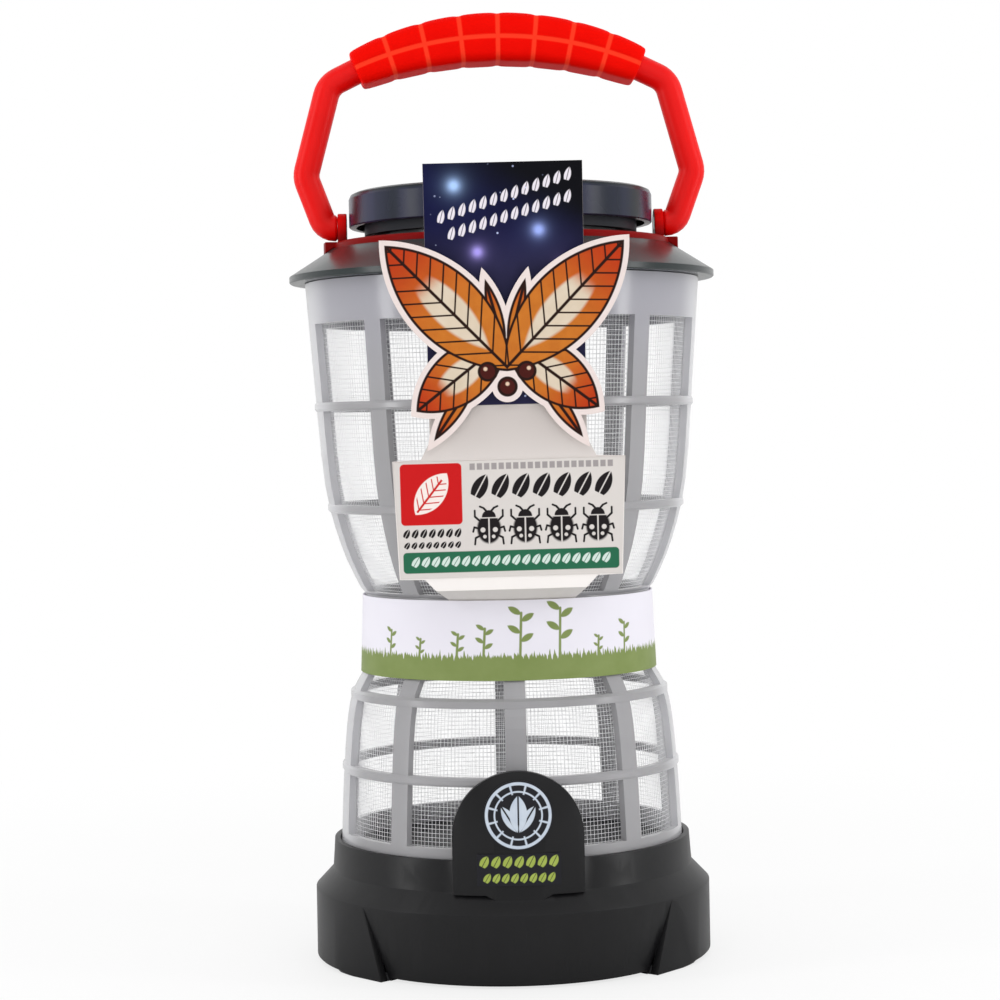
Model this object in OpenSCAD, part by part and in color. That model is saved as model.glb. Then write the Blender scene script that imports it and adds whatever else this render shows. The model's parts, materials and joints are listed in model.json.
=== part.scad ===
// Lantern-shaped bug catcher jar: black base, white mesh cage in two moulded halves, smoked lid,
// twist cap and a red carrying handle. Front is -Y, up is +Z, the origin is on the axis under the base.

/* [Base] */
// Radius of the base skirt
skirt_r = 54.8; // [53:0.1:57]
// Height of the upright part of the skirt
skirt_h = 19.7; // [17:0.1:22]
// Radius of the front and back panels where they reach the ground
panel_foot_r = 50.3; // [49.5:0.1:53]
// Radius at the top of the sloping shoulder
shoulder_r = 50; // [49.6:0.1:51]
// Height of the top of the sloping shoulder
shoulder_h = 24.7; // [23:0.1:26]
// Radius of the upright ring that holds the cage
ring_r = 49.4; // [49:0.1:50]
// Height of the ring's lip
lip_h = 33; // [32:0.1:35]
// Thickness of the base walls
base_wall = 2.2; // [1.6:0.1:2.5]
// Half width of the shield on the front
shield_half_w = 17.3; // [14:0.1:19]
// Height of the top of the shield
shield_top = 56.6; // [50:0.1:58]

/* [Cage] */
// Thickness of the cage wall
cage_wall = 2; // [1.6:0.1:2.4]
// Width of a narrow rib
rib_w = 5.6; // [4:0.1:7]
// Angle from the front to the ribs beside the middle one
rib_angle = 41.5; // [38:0.5:45]
// Angle from the front to the edge of the wide side post
post_angle = 73; // [68:0.5:76]
// Height of a ring across the windows
hoop_h = 2.4; // [2:0.1:3]
// How far a hoop stands proud of the wall
hoop_proud = 0.5; // [0.2:0.1:0.8]
// Radius of the waist under the paper band
waist_r = 39.6; // [39:0.1:40]
// Height of the top edge of the cage
cage_top = 186.8; // [186.8:0.1:186.9]
// Thickness of the netting
net_t = 0.5; // [0.3:0.1:0.6]

/* [Lid and cap] */
// Radius of the lid's brim
brim_r = 59.2; // [57:0.1:61]
// Height of the brim's underside
brim_z = 187; // [187:0.1:187.2]
// Radius of the neck that the cap fits over
neck_r = 35; // [34.8:0.1:35]
// Radius of the cap
cap_r = 42.3; // [41.5:0.1:42.7]
// Height of the cap's top
cap_top = 211.8; // [211.6:0.1:212.5]

/* [Handle] */
// Height of the handle's pivots
pivot_z = 202.6; // [202.5:0.1:203.2]
// Radius of the handle's round bar
bar_r = 3.65; // [3.2:0.05:3.8]
// Depth of the grip from front to back
grip_depth = 17; // [14:0.5:18]
// Height of the top of the grip
grip_top = 261.6; // [261:0.1:262.5]

/* [Paper] */
// Half width of the hang card's top panel
card_top_half_w = 20.4; // [18:0.1:22]
// Height of the hang card's top edge
card_top = 213.8; // [205:0.1:220]
// Thickness of the hang card
card_t = 0.5; // [0.3:0.1:0.6]

/* [Hidden] */
$fn = 96;

reach = 150;           // longer than any cut needs
fit_gap = 0.05;        // gap between fixed pieces that lie together
panel_top_angle = 48.7;    // edge of the front panel at the top of the skirt, from the front
panel_foot_angle = 43.5;   // the same edge at the ground
foot_end_angle = 62.8;     // outer end of a foot at the ground
edge_gap = 0.04;           // keeps the leaning faces just clear of the skirt's top edge
foot_lean = atan(1.65 / skirt_h);  // how far a foot's flat face leans in towards the ground
side_lift = 0.8;           // how far the skirt's edge stays off the ground between the feet
seat_r = 47.9;             // inner radius of the lip
seat_z = 28.3;             // height of the ledge that carries the floor
ledge_r = 38;              // inner radius of the ledge
cavity_top = 26;           // underside of the ledge
screw_circle = 42;         // distance of the base screws from the axis
screw_angles = [45, 135, 225, 315];
shield_r = 51.6;           // radius of the shield's face
badge_t = 0.3;             // thickness of the badge films
badge_z = 45.2;            // height of the badge disc's centre
badge_r = 9.1;

floor_t = 1.8;
cage_foot = seat_z + fit_gap + floor_t + fit_gap;
waist_low = 80;
waist_high = 100.8;
// Outer wall of the cage as [radius, height], below and above the waist.
lower_wall = [[47.5, cage_foot], [46.9, 45.5], [45.6, 63], [43.9, 72.8], [40.7, 79]];
upper_wall = [[40.1, 101.4], [41.7, 103.8], [46.3, 114.5], [50.4, 131.3], [52.8, 159.3], [54.9, cage_top]];
hoop_heights = [53, 73.3, 124.6, 152.6];
window_rows = [
    [35.6, 53 - hoop_h / 2], [53 + hoop_h / 2, 73.3 - hoop_h / 2], [73.3 + hoop_h / 2, waist_low - 0.6],
    [101.8, 124.6 - hoop_h / 2], [124.6 + hoop_h / 2, 152.6 - hoop_h / 2], [152.6 + hoop_h / 2, 175.3],
];

brim_lip = 1.8;            // height of the brim's upright edge
lid_slope = 0.64;          // rise of the lid's cone for each millimetre inwards
ring_seat_z = 193.6;       // shelf that the yoke ring lies on
yoke_r = 47;               // outer radius of the yoke ring
yoke_h = 4.45;
neck_top = 209;
neck_bore_r = 32.6;
cap_wall_foot = 202.4;
cap_skin = 2;
ear_in = 42.95;            // inner face of the ears that carry the handle
ear_out = 45.45;
ear_r = 4;
pin_r = 1.85;
arm_in = 45.75;            // inner face of the handle's ends

// Centre line of the handle's arm as [x, z], from the pivot to the end of the grip.
arm_line = [[48, 204.4], [54.2, 217], [47.3, 242.5], [39.7, 246.5]];
bar_arc_r = 99.1;          // radius of the curved bar inside the grip
bar_arc_z = 254.5 - bar_arc_r;
grip_top_r = 87.6;
grip_under_r = 116.5;
grip_under_z = 247.8;
groove_w = 0.9;
groove_depth = 0.4;
groove_pitch = 5.9;        // degrees between the grooves across the grip

card_lean = 0.156;         // how far the card leans out for each millimetre of height
card_brim_y = brim_r + 0.4;
card_fold = 103.8;         // height where the card leaves its tab
card_turn = 0.5;           // how far the hung card is turned, in degrees
card_x = -0.4;             // how far it hangs to the left
lean_scale = sqrt(1 + card_lean * card_lean);
motif_gap = 1.5;           // thickness of the foam pads behind the motif

function at_angle(a, r) = [r * sin(a), -r * cos(a)];
function catmull(p0, p1, p2, p3, t) =
    0.5 * ((2 * p1) + (p2 - p0) * t + (2 * p0 - 5 * p1 + 4 * p2 - p3) * t * t
        + (3 * p1 - p0 - 3 * p2 + p3) * t * t * t);
// A smooth line through a list of points, with a few steps between neighbours.
function smooth(pts, steps = 3) = concat(
    [for (i = [0 : len(pts) - 2], s = [0 : steps - 1])
        catmull(pts[max(i - 1, 0)], pts[i], pts[i + 1], pts[min(i + 2, len(pts) - 1)], s / steps)],
    [pts[len(pts) - 1]]);
function reversed(list) = [for (i = [len(list) - 1 : -1 : 0]) list[i]];
function inward(pts, by) = [for (p = pts) [p[0] - by, p[1]]];
function between(pts, low, high) = [for (p = pts) if (p[1] >= low && p[1] <= high) p];

// ---- Base ----

// Half space that lies towards the front of a slanting plane at one end of the front panel.
module panel_side() {
    tilt = atan(skirt_r * (panel_top_angle - panel_foot_angle) * PI / 180 / skirt_h);
    translate([0, 0, skirt_h]) rotate([0, 0, panel_top_angle]) rotate([0, tilt, 0])
        translate([-reach, -reach, -reach]) cube([reach, 2 * reach, 2 * reach]);
}

// What the leaning front panel takes off the round skirt.
module panel_cut(inset) {
    difference() {
        intersection() {
            translate([0, 0, -1]) cylinder(h = skirt_h + 1, r = skirt_r + 5);
            panel_side();
            mirror([1, 0, 0]) panel_side();
        }
        translate([0, 0, -skirt_h])
            cylinder(h = 2 * skirt_h, r1 = 2 * panel_foot_r - skirt_r - inset, r2 = skirt_r + edge_gap - inset);
    }
}

// What the flat face of one foot takes off the round skirt.
module foot_cut(inset) {
    translate([0, -skirt_r - edge_gap + inset, skirt_h]) rotate([foot_lean, 0, 0])
        translate([-reach / 2, -reach, -reach / 2]) cube([reach, reach, reach / 2]);
}

// The base as a solid, drawn in by inset.
module base_form(inset, top) {
    difference() {
        rotate_extrude() polygon([
            [0, -inset], [skirt_r - inset - 1.2, -inset], [skirt_r - inset, 1.2], [skirt_r - inset, skirt_h],
            [shoulder_r - inset, min(shoulder_h, top)], [ring_r - inset, top], [0, top],
        ]);
        for (turn = [0, 180]) rotate([0, 0, turn]) {
            panel_cut(inset);
            for (side = [-1, 1]) rotate([0, 0, side * panel_top_angle]) foot_cut(inset);
        }
    }
}

// A wedge of height h from angle a to angle b, clear of the feet.
module ground_wedge(a, b, h) {
    translate([0, 0, -1]) linear_extrude(h + 1)
        polygon([[0, 0], at_angle(a, 80), at_angle((a + b) / 2, 80), at_angle(b, 80)]);
}

module shield() {
    intersection() {
        difference() {
            cylinder(h = 60, r = shield_r);
            cylinder(h = 60, r = ring_r - 0.4);
        }
        translate([0, -40, 0]) union() {
            translate([-shield_half_w, -20, shoulder_h - 0.3])
                cube([2 * shield_half_w, 20, shield_top - shield_half_w - shoulder_h + 0.3]);
            translate([0, 0, shield_top - shield_half_w]) rotate([90, 0, 0])
                cylinder(h = 20, r = shield_half_w);
        }
    }
}

module base_shell() {
    color("#28282a") difference() {
        union() {
            base_form(0, lip_h);
            shield();
        }
        difference() {
            base_form(base_wall, cavity_top);
            for (a = screw_angles) rotate([0, 0, a]) translate([0, -screw_circle, 3])
                cylinder(h = cavity_top, r = 3.6);
        }
        translate([0, 0, seat_z]) cylinder(h = reach, r = seat_r);
        translate([0, 0, cavity_top - 1]) cylinder(h = reach, r = ledge_r);
        for (a = screw_angles) rotate([0, 0, a]) translate([0, -screw_circle, 2])
            cylinder(h = 14, r = 1.5);
        for (turn = [0, 180]) rotate([0, 0, turn]) {
            ground_wedge(1 - panel_foot_angle, panel_foot_angle - 1, side_lift);
            ground_wedge(foot_end_angle, 180 - foot_end_angle, side_lift);
        }
    }
}

module base_cover() {
    color("#303032") difference() {
        union() {
            intersection() {
                base_form(base_wall + 0.2, cavity_top);
                cylinder(h = 2.2, r = skirt_r);
            }
            // A stiffening rib on the inside.
            difference() {
                cylinder_from(2, 5, 36);
                cylinder_from(1, 6, 34.4);
            }
        }
        for (a = screw_angles) rotate([0, 0, a]) translate([0, -screw_circle, 0]) {
            cylinder_from(-1, 4, 1.7);
            cylinder_from(-1, 1.2, 3.1);
        }
    }
}

module base_screws() {
    color("silver") for (a = screw_angles) rotate([0, 0, a]) translate([0, -screw_circle, 0])
        difference() {
            union() {
                translate([0, 0, 0.2]) cylinder(h = 1, r = 2.9);
                cylinder_from(1.2, 13, 1.45);
            }
            for (turn = [0, 90]) rotate([0, 0, turn])
                translate([-1.7, -0.4, 0]) cube([3.4, 0.8, 0.8]);
        }
}

module cylinder_from(low, high, r) {
    translate([0, 0, low]) cylinder(h = high - low, r = r);
}

module floor_plate() {
    color("#2c2c2e") translate([0, 0, seat_z + fit_gap]) difference() {
        cylinder(h = floor_t, r = seat_r - 0.3);
        // Rows of small drain holes round the edge.
        for (a = [15 : 30 : 345]) rotate([0, 0, a]) translate([0, -34, -1]) cylinder(h = 4, r = 1.2);
    }
}

module badge_film(low, high) {
    intersection() {
        difference() {
            cylinder_from(low, high, shield_r + badge_t);
            cylinder_from(low - 1, high + 1, shield_r);
        }
        translate([0, -40, 0]) children();
    }
}

module badge_disc() {
    color("lightsteelblue") badge_film(badge_z - 10, badge_z + 10)
        translate([0, 0, badge_z]) rotate([90, 0, 0]) cylinder(h = 20, r = badge_r);
}

module badge_strip() {
    color("yellowgreen") badge_film(26, 36)
        translate([-11, -20, 26.9]) cube([22, 20, 8.3]);
}

// ---- Cage ----

lower_line = smooth(lower_wall);
upper_line = smooth(upper_wall);
wall_line = concat(lower_line, [[waist_r, waist_low]], [[waist_r, waist_high]], upper_line);

// One window column of the front half, between two radial edges.
module window_column(a, a_half, b, b_half) {
    near = 25;
    far = 75;
    from_a = [cos(a), sin(a)] * a_half;
    from_b = -[cos(b), sin(b)] * b_half;
    polygon([from_a + at_angle(a, near), from_a + at_angle(a, far),
        from_b + at_angle(b, far), from_b + at_angle(b, near)]);
}

module cage_half() {
    difference() {
        rotate([0, 0, 180]) rotate_extrude(angle = 180)
            polygon(concat(wall_line, reversed(inward(wall_line, cage_wall))));
        for (row = window_rows) translate([0, 0, row[0]]) for (side = [-1, 1]) {
            linear_extrude(row[1] - row[0]) {
                if (side > 0) {
                    window_column(0, rib_w / 2, rib_angle, rib_w / 2);
                    window_column(rib_angle, rib_w / 2, post_angle, 0);
                } else {
                    window_column(-rib_angle, rib_w / 2, 0, rib_w / 2);
                    window_column(-post_angle, 0, -rib_angle, rib_w / 2);
                }
            }
        }
    }
    for (z = hoop_heights) hoop(z);
}

function wall_at(z) =
    let (line = z < waist_low ? lower_line : upper_line,
        i = max([for (k = [0 : len(line) - 2]) line[k][1] <= z ? k : 0]))
    line[i][0] + (line[i + 1][0] - line[i][0]) * (z - line[i][1]) / (line[i + 1][1] - line[i][1]);

module hoop(z) {
    low = z - hoop_h / 2;
    high = z + hoop_h / 2;
    rotate([0, 0, 180]) rotate_extrude(angle = 180) polygon([
        [wall_at(low) - 1, low], [wall_at(low) + 0.1, low], [wall_at(z) + hoop_proud, low + 0.6],
        [wall_at(z) + hoop_proud, high - 0.6], [wall_at(high) + 0.1, high], [wall_at(high) - 1, high],
    ]);
}

module cage_front() { color("#d2d1d8") cage_half(); }
module cage_back() { color("#d2d1d8") rotate([0, 0, 180]) cage_half(); }

module net_half(low, high) {
    line = between(z_line(low), low, high);
    rotate([0, 0, 180]) rotate_extrude(angle = 180)
        polygon(concat(inward(line, cage_wall + fit_gap), reversed(inward(line, cage_wall + fit_gap + net_t))));
}
function z_line(z) = z < waist_low ? lower_line : upper_line;

module net_front_upper() { color("white") net_half(102, 184); }
module net_back_upper() { color("white") rotate([0, 0, 180]) net_half(102, 184); }
module net_front_lower() { color("white") net_half(31, 78.5); }
module net_back_lower() { color("white") rotate([0, 0, 180]) net_half(31, 78.5); }

// ---- Lid, yoke and cap ----

module lid_cone() {
    rim_r = yoke_r + 0.15;
    rim_out = rim_r + 0.5;
    wall = 1.8;
    function cone_z(r) = brim_z + brim_lip + lid_slope * (brim_r - r);
    color("#4a555c", 0.8) rotate_extrude() polygon([
        [52.7, brim_z], [brim_r - 0.3, brim_z], [brim_r, brim_z + 0.3], [brim_r, brim_z + brim_lip],
        [rim_out, cone_z(rim_out)], [rim_r, cone_z(rim_out)], [rim_r, ring_seat_z],
        [neck_r, ring_seat_z], [neck_r, neck_top], [neck_bore_r, neck_top],
        [neck_bore_r, ring_seat_z - wall], [rim_r + wall, ring_seat_z - wall],
        [rim_r + wall, cone_z(rim_r + wall) - 2.3], [50.6, cone_z(50.6) - 2.3],
        [50.6, brim_z - 6], [52.1, brim_z - 6],
    ]);
}

module yoke_ring() {
    top = ring_seat_z + fit_gap + yoke_h;
    color("#9c1210") difference() {
        union() {
            rotate_extrude() polygon([
                [neck_r + 0.2, ring_seat_z + fit_gap], [yoke_r, ring_seat_z + fit_gap], [yoke_r, top - 0.6],
                [yoke_r - 0.6, top], [neck_r + 0.2, top],
            ]);
            for (side = [0, 180]) rotate([0, 0, side]) {
                translate([ear_in, -ear_r, top - 1]) cube([ear_out - ear_in, 2 * ear_r, pivot_z - top + 1]);
                translate([ear_in, 0, pivot_z]) rotate([0, 90, 0]) cylinder(h = ear_out - ear_in, r = ear_r);
            }
        }
        for (side = [0, 180]) rotate([0, 0, side])
            translate([ear_in - 1, 0, pivot_z]) rotate([0, 90, 0])
                cylinder(h = ear_out - ear_in + 2, r = pin_r + 0.07);
    }
}

module cap_shell() {
    color("#434a59") rotate_extrude() polygon([
        [0, cap_top - 0.5], [33.5, cap_top - 0.5], [34.5, cap_top], [cap_r - 1.6, cap_top],
        [cap_r - 0.5, cap_top - 0.5], [cap_r, cap_top - 1.6], [cap_r, cap_wall_foot + 0.3],
        [cap_r - 0.3, cap_wall_foot], [cap_r - cap_skin, cap_wall_foot],
        [cap_r - cap_skin, cap_top - cap_skin], [0, cap_top - cap_skin],
    ]);
}

module cap_sleeve() {
    color("#2b2f38") difference() {
        cylinder_from(200, cap_top - cap_skin - fit_gap, 38);
        cylinder_from(199, cap_top, neck_r + 0.3);
    }
}

module cap_liner() {
    color("gainsboro") difference() {
        cylinder_from(neck_top + fit_gap, cap_top - cap_skin - fit_gap, neck_r);
        cylinder_from(neck_top - 1, cap_top, 30.5);
    }
}

// ---- Handle ----

module bar_between(a, b) {
    run = b - a;
    translate([a[0], 0, a[1]]) rotate([0, atan2(run[0], run[1]), 0]) cylinder(h = norm(run), r = bar_r);
}

// Curved bar inside the grip, from one end of the grip to the other.
module grip_bar(r) {
    half = asin(arm_line[3][0] / bar_arc_r);
    translate([0, 0, bar_arc_z]) rotate([90, 0, 0]) rotate([0, 0, 90 - half])
        rotate_extrude(angle = 2 * half) translate([bar_arc_r, 0]) circle(r = r);
}

module handle_bail() {
    color("#ee1c0f") difference() {
        union() {
            grip_bar(bar_r, $fn = 64);
            for (side = [0, 1]) mirror([side, 0, 0]) {
                for (i = [0 : 2]) bar_between(arm_line[i], arm_line[i + 1]);
                for (i = [1 : 3])
                    translate([arm_line[i][0], 0, arm_line[i][1]]) sphere(r = bar_r + 0.1, $fn = 48);
                translate([arm_in, 0, pivot_z]) rotate([0, 90, 0]) cylinder(h = 4.8, r = ear_r);
            }
        }
        for (side = [0, 1]) mirror([side, 0, 0]) {
            translate([arm_in - 20, -10, pivot_z - 10]) cube([20, 20, 16]);
            translate([arm_in - 1, 0, pivot_z]) rotate([0, 90, 0]) cylinder(h = 4.2, r = pin_r + 0.02);
        }
    }
}

module pivot_pin() {
    translate([ear_in + 0.05, 0, pivot_z]) rotate([0, 90, 0]) cylinder(h = 5.8, r = pin_r);
}
module pivot_pin_left() { color("silver") mirror([1, 0, 0]) pivot_pin(); }
module pivot_pin_right() { color("silver") pivot_pin(); }

// The grip as a solid without its bore, drawn in by inset.
module grip_form(inset) {
    half = grip_depth / 2 - inset;
    top_r = grip_top_r - inset;
    under_r = grip_under_r + inset;
    round = 3.5;
    difference() {
        intersection() {
            translate([0, 0, grip_top - grip_top_r]) rotate([90, 0, 0]) rotate_extrude() polygon([
                [0, -half], [top_r - round, -half], [top_r - round * 0.3, -half + round * 0.3],
                [top_r, -half + round], [top_r, half - round], [top_r - round * 0.3, half - round * 0.3],
                [top_r - round, half], [0, half],
            ]);
            translate([-60, -20, 200]) cube([120, 40, 80]);
        }
        translate([0, 0, grip_under_z - grip_under_r]) rotate([90, 0, 0]) rotate_extrude() polygon([
            [0, -10], [under_r + 3, -10], [under_r + 3, -half], [under_r, -half + 3],
            [under_r, half - 3], [under_r + 3, half], [under_r + 3, 10], [0, 10],
        ]);
        for (side = [0, 1]) mirror([side, 0, 0])
            translate([42.1 - inset, -20, 251.5]) rotate([0, 26, 0]) translate([0, 0, -40]) cube([40, 40, 80]);
    }
}

module grip_sleeve() {
    color("#f0281a") difference() {
        union() {
            grip_form(groove_depth);
            difference() {
                grip_form(0);
                for (i = [-3 : 3]) translate([0, 0, bar_arc_z]) rotate([0, i * groove_pitch, 0])
                    translate([-groove_w / 2, -20, 60]) cube([groove_w, 40, 60]);
                for (side = [-1, 1]) translate([0, side * grip_depth / 2, bar_arc_z]) rotate([90, 0, 0])
                    difference() {
                        cylinder(h = 2 * groove_depth, r = bar_arc_r + groove_w / 2, center = true);
                        cylinder(h = 3 * groove_depth, r = bar_arc_r - groove_w / 2, center = true);
                    }
            }
        }
        grip_bar(bar_r + 0.12);
    }
}

// ---- Paper ----

module belly_band() {
    paper = 0.4;
    low = [40.85, 79.2];
    high = [40.05, 100.4];
    color("#e7e5ee") {
        rotate_extrude() polygon([low, low + [paper, 0], high + [paper, 0], high]);
        // The glued overlap at the back.
        rotate([0, 0, 82]) rotate_extrude(angle = 16)
            polygon([low + [paper / 2, 0.1], low + [2 * paper, 0.1], high + [2 * paper, -0.1],
                high + [paper / 2, -0.1]]);
    }
}

function card_y(z) = -(card_brim_y + card_lean * (z - 188));
// Rows of the hang card from its tab to its top: [height, half width, 1 where it is flat].
card_rows = [
    [92, 14, 0], [96.4, 15.5, 0], [100.6, 16.9, 0], [103.8, 19.8, 1], [106.8, 22.6, 1], [107, 29.2, 1],
    [138, 30.3, 1], [138.3, 22.8, 1], [143, card_top_half_w, 1], [card_top, card_top_half_w, 1],
];
card_columns = 8;
tab_r = 39.76;
tab_t = 0.25;
// A point of the flat part turns with the card about the middle of its fold.
function card_point(row, u, front) =
    let (x = row[1] * u, up = (row[0] - card_fold) * lean_scale)
    row[2] < 1 ? [x, -sqrt(pow(tab_r + (front ? tab_t : 0), 2) - x * x), row[0]]
        : let (z = card_fold + (up * cos(card_turn) + x * sin(card_turn)) / lean_scale)
            [card_x + x * cos(card_turn) - up * sin(card_turn), card_y(z) - (front ? card_t : 0), z];

module hang_card() {
    across = card_columns + 1;
    count = len(card_rows) * across;
    points = [for (front = [0, 1], row = card_rows, c = [0 : card_columns])
        card_point(row, 2 * c / card_columns - 1, front == 1)];
    function quad(a, b, c, d) = [[a, b, c], [a, c, d]];
    faces = concat(
        [for (r = [0 : len(card_rows) - 2], c = [0 : card_columns - 1], f = [0, 1])
            let (i = r * across + c)
            quad(i, i + 1, i + 1 + across, i + across)[f]],
        [for (r = [0 : len(card_rows) - 2], c = [0 : card_columns - 1], f = [0, 1])
            let (i = count + r * across + c)
            quad(i, i + across, i + 1 + across, i + 1)[f]],
        [for (r = [0 : len(card_rows) - 2], f = [0, 1])
            let (i = r * across)
            quad(i, i + across, count + i + across, count + i)[f]],
        [for (r = [0 : len(card_rows) - 2], f = [0, 1])
            let (i = r * across + card_columns)
            quad(i, count + i, count + i + across, i + across)[f]],
        [for (c = [0 : card_columns - 1], f = [0, 1])
            quad(c, count + c, count + c + 1, c + 1)[f]],
        [for (c = [0 : card_columns - 1], f = [0, 1])
            let (i = (len(card_rows) - 1) * across + c)
            quad(i, i + 1, count + i + 1, count + i)[f]]);
    color("#4b4c66") polyhedron(points = points, faces = faces);
}

// Puts flat work drawn in X and Z on the leaning card, out in front of it by the given distance.
module on_card(out, thickness) {
    translate([0, card_y(0) - card_t - out, 0]) rotate([atan(card_lean), 0, 0])
        translate([card_x, -thickness, card_fold * lean_scale]) rotate([0, -card_turn, 0])
            translate([0, 0, -card_fold * lean_scale]) children();
}

module card_label() {
    foot = 107.2 * lean_scale;
    head = 137.7 * lean_scale;
    color("#e9e5e1") on_card(0.03, 0.2) translate([0, 0.2, 0]) rotate([90, 0, 0]) linear_extrude(0.2)
        polygon([[-29, foot], [29, foot], [30, head], [-30, head]]);
}

// A pointed leaf lying in X and Z: the overlap of two round discs, from its stem end to its tip.
module leaf(stem, tip, width, thickness) {
    run = tip - stem;
    length = norm(run);
    r = (length * length + width * width) / (4 * width);
    translate([stem[0], 0, stem[1]]) rotate([0, atan2(run[0], run[1]), 0])
        rotate([-90, 0, 0]) translate([0, -length / 2, 0]) intersection() {
            translate([r - width / 2, 0, 0]) cylinder(h = thickness, r = r);
            translate([width / 2 - r, 0, 0]) cylinder(h = thickness, r = r);
        }
}

// Leaves of the die-cut spray on its right half: stem end, tip and width, with the white border.
leaves = [
    [[-2.5, 159], [32, 195], 21], [[-1.5, 170], [25, 149.5], 17], [[6, 162], [21, 140.3], 7],
    [[-0.5, 163], [6, 187.5], 6.5],
];
berries = [[0, 156.5], [5, 160.5]];
berry_r = 4;

module motif_card() {
    t = 0.5;
    color("#e0701e") on_card(motif_gap + 0.1, t) stretch_up() {
        for (side = [0, 1], l = leaves) mirror([side, 0, 0]) leaf(l[0], l[1], l[2], t);
        for (side = [0, 1], b = berries) mirror([side, 0, 0])
            translate([b[0], t, b[1]]) rotate([90, 0, 0]) cylinder(h = t, r = berry_r);
    }
}
module stretch_up() { translate([0, 0, 165 * (lean_scale - 1)]) children(); }

module motif_pads() {
    color("whitesmoke") on_card(0.05, motif_gap) stretch_up()
        for (x = [-11, 3]) for (z = [157, 168])
            translate([x, 0, z]) cube([8, motif_gap, 8]);
}

base_shell();
base_cover();
base_screws();
floor_plate();
badge_disc();
badge_strip();
cage_front();
cage_back();
net_front_upper();
net_back_upper();
net_front_lower();
net_back_lower();
lid_cone();
yoke_ring();
cap_shell();
cap_sleeve();
cap_liner();
handle_bail();
grip_sleeve();
pivot_pin_left();
pivot_pin_right();
belly_band();
hang_card();
card_label();
motif_card();
motif_pads();
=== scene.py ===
"""Looks of the lantern-shaped bug catcher jar: finishes, netting, handle, grip and printed cards.

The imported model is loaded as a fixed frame. Front is -Y and up is +Z. Blender's lengths are metres,
and the sizes below are millimetres.
"""

import json
import math

import bmesh
import bpy
from bpy.props import FloatProperty, PointerProperty
from mathutils import Matrix, Vector

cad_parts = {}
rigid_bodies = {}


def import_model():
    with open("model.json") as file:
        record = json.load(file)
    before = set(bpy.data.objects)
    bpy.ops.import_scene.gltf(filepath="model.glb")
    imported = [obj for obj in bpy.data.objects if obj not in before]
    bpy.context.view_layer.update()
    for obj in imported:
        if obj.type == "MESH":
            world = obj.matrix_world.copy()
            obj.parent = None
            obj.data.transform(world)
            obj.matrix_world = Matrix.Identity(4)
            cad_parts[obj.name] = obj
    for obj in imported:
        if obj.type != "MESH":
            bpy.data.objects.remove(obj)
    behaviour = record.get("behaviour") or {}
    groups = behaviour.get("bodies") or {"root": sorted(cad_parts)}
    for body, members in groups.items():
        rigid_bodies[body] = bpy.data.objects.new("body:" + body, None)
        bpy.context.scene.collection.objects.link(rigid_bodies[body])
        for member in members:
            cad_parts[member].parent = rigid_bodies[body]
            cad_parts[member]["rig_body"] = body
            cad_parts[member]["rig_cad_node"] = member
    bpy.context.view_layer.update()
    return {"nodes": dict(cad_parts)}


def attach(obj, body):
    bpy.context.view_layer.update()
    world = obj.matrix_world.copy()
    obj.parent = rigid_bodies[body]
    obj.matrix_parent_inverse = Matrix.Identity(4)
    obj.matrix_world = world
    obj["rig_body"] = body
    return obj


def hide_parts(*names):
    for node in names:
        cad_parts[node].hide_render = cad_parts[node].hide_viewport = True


bl_info = {
    "name": "Bug catcher jar",
    "version": (1, 0, 0),
    "blender": (4, 5, 0),
    "location": "View3D > Sidebar > Bug jar",
    "description": "Dresses the bug catcher jar and its shop packaging",
    "category": "Object",
}

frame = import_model()
nodes = frame["nodes"]

MM = 0.001
FRONT, BACK = -1, 1

# Outer wall of the cage as (radius, height) in millimetres, below and above the waist.
LOWER_WALL = [(47.5, 30.2), (46.9, 45.5), (45.6, 63), (43.9, 72.8), (40.7, 79)]
UPPER_WALL = [
    (40.1, 101.4), (41.7, 103.8), (46.3, 114.5), (50.4, 131.3), (52.8, 159.3), (54.9, 186.8),
]
# How far inside the cage's outer wall the middle of the netting lies.
NET_INSET = 2.3
# Height of the handle's pivots, where the bar starts, and how much its end is chamfered.
PIVOT_Z = 202.6
BAR_START = 45.58
BAR_CHAMFER = 0.5
# Corners of the centre line of the handle's right arm as (x, height, bend radius).
ARM_LINE = [(48.9, PIVOT_Z, 3.7), (54.2, 217, 6), (47.3, 242.5, 6.5)]
# The lid's cone: its brim as (radius, height), and its rise for each millimetre inwards.
BRIM = (59.2, 188.8)
LID_SLOPE = 0.64
# The bar inside the grip: its radius, and the height of its centre.
BAR_ARC = (99.1, 155.4)
# The grip: its top and underside as (radius, height), its depth and the half angle that it spans.
GRIP_TOP = (87.6, 261.6)
GRIP_UNDER = (116.5, 247.8)
GRIP_DEPTH = 17
GRIP_END = math.radians(23.6)
# Rounding of the grip's upper and lower edges, pitch of its cross grooves and depth of its grooves.
GRIP_ROUND = (4, 3)
GRIP_PITCH = math.radians(5.9)
GROOVE_DEPTH = 0.28
# The yoke: its outer radius and top, and the depth and width of the block under each foot.
YOKE_R = 46.3
YOKE_TOP = 198.15
BLOCK_DEPTH = 17
BLOCK_WIDTH = 3.2
# The hung card: height of its fold, lean, distance in front at the lid, turn and place across.
CARD_FOLD = 103.8
CARD_LEAN = 0.156
CARD_Y = 59.6
CARD_LID_Z = 188
CARD_TURN = math.radians(0.5)
CARD_X = -0.4
LEAN_SCALE = math.sqrt(1 + CARD_LEAN ** 2)
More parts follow.
